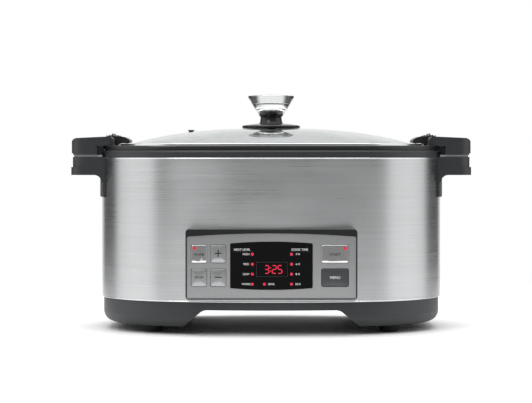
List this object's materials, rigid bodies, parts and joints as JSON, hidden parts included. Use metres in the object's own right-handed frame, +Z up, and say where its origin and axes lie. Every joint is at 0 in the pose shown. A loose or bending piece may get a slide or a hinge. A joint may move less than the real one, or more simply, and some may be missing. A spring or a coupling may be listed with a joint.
{
  "type": "slow cooker",
  "caption": "Oval countertop slow cooker with a lift-out pan, clipped domed glass lid, side handles and a front key panel with a display.",
  "frame": {"origin": "on the table, under the middle of the body", "axes": "+Z up, +X to the viewer's right, -Y towards the viewer, out of the control panel"},
  "size_m": [0.4624, 0.313, 0.2714],
  "materials": {
    "brushed_steel": "horizontally brushed",
    "dark_plastic": "fine satin",
    "clip_plastic": "satin",
    "foot_rubber": "matte",
    "silicone": "matte",
    "pad_grey": "soft grey",
    "polished_steel": "polished",
    "lid_glass": "clear",
    "knob_clear": "clear",
    "bezel_black": "satin gloss",
    "panel_silver": "fine satin",
    "display_black": "gloss",
    "key_silver": "satin",
    "key_chrome": "mirror",
    "key_dark": "satin",
    "pan_coating": "non-stick coating",
    "aluminium": "cast",
    "plain_steel": "plain",
    "board_green": "solder mask",
    "ribbon_grey": "flexible",
    "led_red": "clear lens"
  },
  "bodies": {
    "housing": {"base_tray": "dark_plastic", "control_board": "board_green", "cord_gland": "dark_plastic", "digit_module": "led_red", "display_window": "display_black", "foot_front_left": "foot_rubber", "foot_front_right": "foot_rubber", "foot_rear_left": "foot_rubber", "foot_rear_right": "foot_rubber", "foot_screws": "plain_steel", "handle_pad_left": "pad_grey", "handle_pad_right": "pad_grey", "heat_shield": "plain_steel", "heating_element": "plain_steel", "heating_plate": "aluminium", "indicator_leds": "led_red", "inner_well": "plain_steel", "key_mats": "foot_rubber", "outer_wrap": "brushed_steel", "panel_bezel": "bezel_black", "panel_plate": "panel_silver", "panel_screws": "plain_steel", "power_board": "board_green", "ribbon_cable": "ribbon_grey", "sensor_spring": "plain_steel", "side_handle_left": "dark_plastic", "side_handle_right": "dark_plastic", "side_handle_screws": "plain_steel", "thermal_fuse": "plain_steel", "tie_rods": "plain_steel", "top_collar": "dark_plastic"},
    "pan": {"cooking_pan": "pan_coating", "pan_handle_left": "dark_plastic", "pan_handle_right": "dark_plastic", "pan_handle_screws": "plain_steel", "clip_pin_left": "plain_steel", "clip_pin_right": "plain_steel"},
    "lid": {"lid_glass": "lid_glass", "lid_rim": "polished_steel", "lid_seal": "silicone", "steam_vent": "silicone", "knob_skirt": "dark_plastic", "knob_core": "dark_plastic", "knob_cone": "knob_clear", "knob_screw": "plain_steel"},
    "clip_left": {"lid_clip_left": "clip_plastic"},
    "clip_right": {"lid_clip_right": "clip_plastic"},
    "sensor": {"sensor_plunger": "aluminium"},
    "key_warm": {"key_warm": "key_chrome"},
    "key_cancel": {"key_cancel": "key_silver"},
    "key_plus": {"key_plus": "key_silver"},
    "key_minus": {"key_minus": "key_silver"},
    "key_start": {"key_start": "key_chrome"},
    "key_menu": {"key_menu": "key_dark"}
  },
  "joints": [
    {"name": "pan_lift", "type": "slide", "parent": "housing", "child": "pan", "axis": [0, 0, 1], "range_m": [0, 0.13]},
    {"name": "lid_lift", "type": "slide", "parent": "pan", "child": "lid", "axis": [0, 0, 1], "range_m": [0, 0.0144]},
    {"name": "clip_left_swing", "type": "hinge", "parent": "pan", "child": "clip_left", "pos_m": [-0.1852, 0, 0.2155], "axis": [0, -1, 0], "range_deg": [0, 72.2]},
    {"name": "clip_right_swing", "type": "hinge", "parent": "pan", "child": "clip_right", "pos_m": [0.1852, 0, 0.2155], "axis": [0, 1, 0], "range_deg": [0, 72.2]},
    {"name": "sensor_press", "type": "slide", "parent": "housing", "child": "sensor", "axis": [0, 0, -1], "range_m": [0, 0.002], "stiffness_N_per_m": 300, "springref_m": -0.002, "deforming": ["sensor_spring"]},
    {"name": "key_warm_press", "type": "slide", "parent": "housing", "child": "key_warm", "axis": [0, 1, 0], "range_m": [0, 0.0012], "stiffness_N_per_m": 400},
    {"name": "key_cancel_press", "type": "slide", "parent": "housing", "child": "key_cancel", "axis": [0, 1, 0], "range_m": [0, 0.0012], "stiffness_N_per_m": 400},
    {"name": "key_plus_press", "type": "slide", "parent": "housing", "child": "key_plus", "axis": [0, 1, 0], "range_m": [0, 0.0012], "stiffness_N_per_m": 400},
    {"name": "key_minus_press", "type": "slide", "parent": "housing", "child": "key_minus", "axis": [0, 1, 0], "range_m": [0, 0.0012], "stiffness_N_per_m": 400},
    {"name": "key_start_press", "type": "slide", "parent": "housing", "child": "key_start", "axis": [0, 1, 0], "range_m": [0, 0.0012], "stiffness_N_per_m": 400},
    {"name": "key_menu_press", "type": "slide", "parent": "housing", "child": "key_menu", "axis": [0, 1, 0], "range_m": [0, 0.0012], "stiffness_N_per_m": 400}
  ],
  "couplings": [
    {"joint": "clip_left_swing", "follows": "lid_lift", "rad_per_m": 87.266},
    {"joint": "clip_right_swing", "follows": "lid_lift", "rad_per_m": 87.266}
  ]
}
